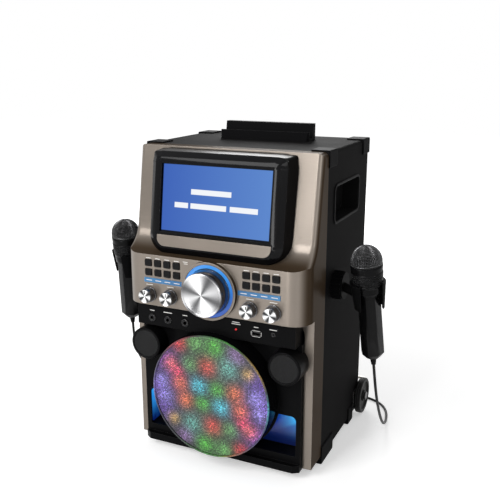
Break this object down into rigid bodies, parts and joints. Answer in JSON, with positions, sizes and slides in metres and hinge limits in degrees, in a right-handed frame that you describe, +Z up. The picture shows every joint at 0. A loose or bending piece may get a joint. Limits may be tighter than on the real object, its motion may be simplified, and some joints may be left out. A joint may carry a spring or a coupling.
{
  "type": "karaoke machine with disc tray",
  "caption": "Karaoke pedestal with a tilted monitor, a sliding disc tray, knobs and keys, a lit round speaker, side microphones in holders, a tablet cradle and rear wheels.",
  "frame": {"origin": "middle of the footprint on the floor, under the cabinet", "axes": "+X to the viewer's right, +Y to the rear, +Z up"},
  "size_m": [0.5282, 0.4911, 0.583],
  "materials": {
    "black_plastic": "satin",
    "blue_light": "translucent, lit",
    "champagne": "brushed satin",
    "chrome": "polished",
    "gloss_black": "gloss",
    "loader_grey": "moulded",
    "mesh_black": "woven mesh",
    "pcb": "solder mask",
    "rubber_black": "matt",
    "screen": "lit screen",
    "sockets": "matt",
    "speaker_frame": "satin",
    "speaker_plate": "translucent, perforated",
    "spun_aluminium": "spun",
    "steel": "zinc plated"
  },
  "bodies": {
    "pedestal": {"accent_lights": "blue_light", "back_panel": "black_plastic", "cabinet_shell": "gloss_black", "circuit_boards": "pcb", "cord_coil_left": "rubber_black", "cord_coil_right": "rubber_black", "corner_protectors": "black_plastic", "display_panel": "screen", "front_bezel": "champagne", "front_sockets": "sockets", "jack_panel": "black_plastic", "led_board": "pcb", "light_ring": "blue_light", "loader_chassis": "loader_grey", "lower_fascia": "black_plastic", "mic_cords": "rubber_black", "mic_holders": "black_plastic", "mic_plugs": "rubber_black", "monitor_bezel": "gloss_black", "monitor_housing": "gloss_black", "rear_terminals": "black_plastic", "screws": "steel", "speaker_grille": "speaker_plate", "tablet_cradle": "black_plastic", "tweeter_pods": "black_plastic", "wheel_axles": "steel", "woofer": "speaker_frame"},
    "tray": {"disc_tray": "loader_grey", "tray_door": "champagne"},
    "pinion": {"tray_pinion": "loader_grey"},
    "spindle": {"disc_spindle": "loader_grey"},
    "sled": {"laser_sled": "loader_grey"},
    "dial": {"main_knob": "spun_aluminium"},
    "knob_1": {"small_knob_1": "chrome"},
    "knob_2": {"small_knob_2": "chrome"},
    "knob_3": {"small_knob_3": "chrome"},
    "knob_4": {"small_knob_4": "chrome"},
    "key_cap_01": {"key_01": "black_plastic"},
    "key_cap_02": {"key_02": "black_plastic"},
    "key_cap_03": {"key_03": "black_plastic"},
    "key_cap_04": {"key_04": "black_plastic"},
    "key_cap_05": {"key_05": "black_plastic"},
    "key_cap_06": {"key_06": "black_plastic"},
    "key_cap_07": {"key_07": "black_plastic"},
    "key_cap_08": {"key_08": "black_plastic"},
    "key_cap_09": {"key_09": "black_plastic"},
    "key_cap_10": {"key_10": "black_plastic"},
    "key_cap_11": {"key_11": "black_plastic"},
    "key_cap_12": {"key_12": "black_plastic"},
    "key_cap_13": {"key_13": "black_plastic"},
    "key_cap_14": {"key_14": "black_plastic"},
    "key_cap_15": {"key_15": "black_plastic"},
    "key_cap_16": {"key_16": "black_plastic"},
    "rocker": {"power_rocker": "black_plastic"},
    "right_wheel": {"wheel_right": "black_plastic"},
    "left_wheel": {"wheel_left": "black_plastic"},
    "right_microphone": {"mic_body_right": "black_plastic", "mic_head_right": "mesh_black"},
    "left_microphone": {"mic_body_left": "black_plastic", "mic_head_left": "mesh_black"}
  },
  "joints": [
    {"name": "tray_slide", "type": "slide", "parent": "pedestal", "child": "tray", "axis": [0, -1, 0], "range_m": [0, 0.14]},
    {"name": "pinion_spin", "type": "hinge", "parent": "pedestal", "child": "pinion", "pos_m": [-0.055, -0.09725, 0.38433], "axis": [1, 0, 0], "range_deg": [0, 895]},
    {"name": "disc_spin", "type": "hinge", "parent": "pedestal", "child": "spindle", "pos_m": [0, -0.07525, 0.4], "axis": [0, 0, 1], "continuous": true},
    {"name": "sled_slide", "type": "slide", "parent": "pedestal", "child": "sled", "axis": [0, 1, 0], "range_m": [0, 0.024]},
    {"name": "dial_turn", "type": "hinge", "parent": "pedestal", "child": "dial", "pos_m": [0, -0.17725, 0.328], "axis": [0, 1, 0], "continuous": true},
    {"name": "knob_1_turn", "type": "hinge", "parent": "pedestal", "child": "knob_1", "pos_m": [-0.117, -0.16725, 0.306], "axis": [0, 1, 0], "range_deg": [-150, 150]},
    {"name": "knob_2_turn", "type": "hinge", "parent": "pedestal", "child": "knob_2", "pos_m": [-0.076, -0.16725, 0.306], "axis": [0, 1, 0], "range_deg": [-150, 150]},
    {"name": "knob_3_turn", "type": "hinge", "parent": "pedestal", "child": "knob_3", "pos_m": [0.072, -0.16725, 0.306], "axis": [0, 1, 0], "range_deg": [-150, 150]},
    {"name": "knob_4_turn", "type": "hinge", "parent": "pedestal", "child": "knob_4", "pos_m": [0.113, -0.16725, 0.306], "axis": [0, 1, 0], "range_deg": [-150, 150]},
    {"name": "key_01_press", "type": "slide", "parent": "pedestal", "child": "key_cap_01", "axis": [0, 1, 0], "range_m": [0, 0.0008], "stiffness_N_per_m": 900},
    {"name": "key_02_press", "type": "slide", "parent": "pedestal", "child": "key_cap_02", "axis": [0, 1, 0], "range_m": [0, 0.0008], "stiffness_N_per_m": 900},
    {"name": "key_03_press", "type": "slide", "parent": "pedestal", "child": "key_cap_03", "axis": [0, 1, 0], "range_m": [0, 0.0008], "stiffness_N_per_m": 900},
    {"name": "key_04_press", "type": "slide", "parent": "pedestal", "child": "key_cap_04", "axis": [0, 1, 0], "range_m": [0, 0.0008], "stiffness_N_per_m": 900},
    {"name": "key_05_press", "type": "slide", "parent": "pedestal", "child": "key_cap_05", "axis": [0, 1, 0], "range_m": [0, 0.0008], "stiffness_N_per_m": 900},
    {"name": "key_06_press", "type": "slide", "parent": "pedestal", "child": "key_cap_06", "axis": [0, 1, 0], "range_m": [0, 0.0008], "stiffness_N_per_m": 900},
    {"name": "key_07_press", "type": "slide", "parent": "pedestal", "child": "key_cap_07", "axis": [0, 1, 0], "range_m": [0, 0.0008], "stiffness_N_per_m": 900},
    {"name": "key_08_press", "type": "slide", "parent": "pedestal", "child": "key_cap_08", "axis": [0, 1, 0], "range_m": [0, 0.0008], "stiffness_N_per_m": 900},
    {"name": "key_09_press", "type": "slide", "parent": "pedestal", "child": "key_cap_09", "axis": [0, 1, 0], "range_m": [0, 0.0008], "stiffness_N_per_m": 900},
    {"name": "key_10_press", "type": "slide", "parent": "pedestal", "child": "key_cap_10", "axis": [0, 1, 0], "range_m": [0, 0.0008], "stiffness_N_per_m": 900},
    {"name": "key_11_press", "type": "slide", "parent": "pedestal", "child": "key_cap_11", "axis": [0, 1, 0], "range_m": [0, 0.0008], "stiffness_N_per_m": 900},
    {"name": "key_12_press", "type": "slide", "parent": "pedestal", "child": "key_cap_12", "axis": [0, 1, 0], "range_m": [0, 0.0008], "stiffness_N_per_m": 900},
    {"name": "key_13_press", "type": "slide", "parent": "pedestal", "child": "key_cap_13", "axis": [0, 1, 0], "range_m": [0, 0.0008], "stiffness_N_per_m": 900},
    {"name": "key_14_press", "type": "slide", "parent": "pedestal", "child": "key_cap_14", "axis": [0, 1, 0], "range_m": [0, 0.0008], "stiffness_N_per_m": 900},
    {"name": "key_15_press", "type": "slide", "parent": "pedestal", "child": "key_cap_15", "axis": [0, 1, 0], "range_m": [0, 0.0008], "stiffness_N_per_m": 900},
    {"name": "key_16_press", "type": "slide", "parent": "pedestal", "child": "key_cap_16", "axis": [0, 1, 0], "range_m": [0, 0.0008], "stiffness_N_per_m": 900},
    {"name": "power_rock", "type": "hinge", "parent": "pedestal", "child": "rocker", "pos_m": [0.09, 0.15425, 0.16], "axis": [1, 0, 0], "range_deg": [-7, 7]},
    {"name": "right_wheel_roll", "type": "hinge", "parent": "pedestal", "child": "right_wheel", "pos_m": [0.1775, 0.15475, 0.037], "axis": [1, 0, 0], "continuous": true},
    {"name": "left_wheel_roll", "type": "hinge", "parent": "pedestal", "child": "left_wheel", "pos_m": [-0.1775, 0.15475, 0.037], "axis": [1, 0, 0], "continuous": true},
    {"name": "right_microphone_lift", "type": "slide", "parent": "pedestal", "child": "right_microphone", "axis": [-0.067, -0.1501, 0.9864], "range_m": [0, 0.16]},
    {"name": "left_microphone_lift", "type": "slide", "parent": "pedestal", "child": "left_microphone", "axis": [0.067, -0.1501, 0.9864], "range_m": [0, 0.16]}
  ],
  "couplings": [
    {"joint": "pinion_spin", "follows": "tray_slide", "rad_per_m": 111.11}
  ]
}
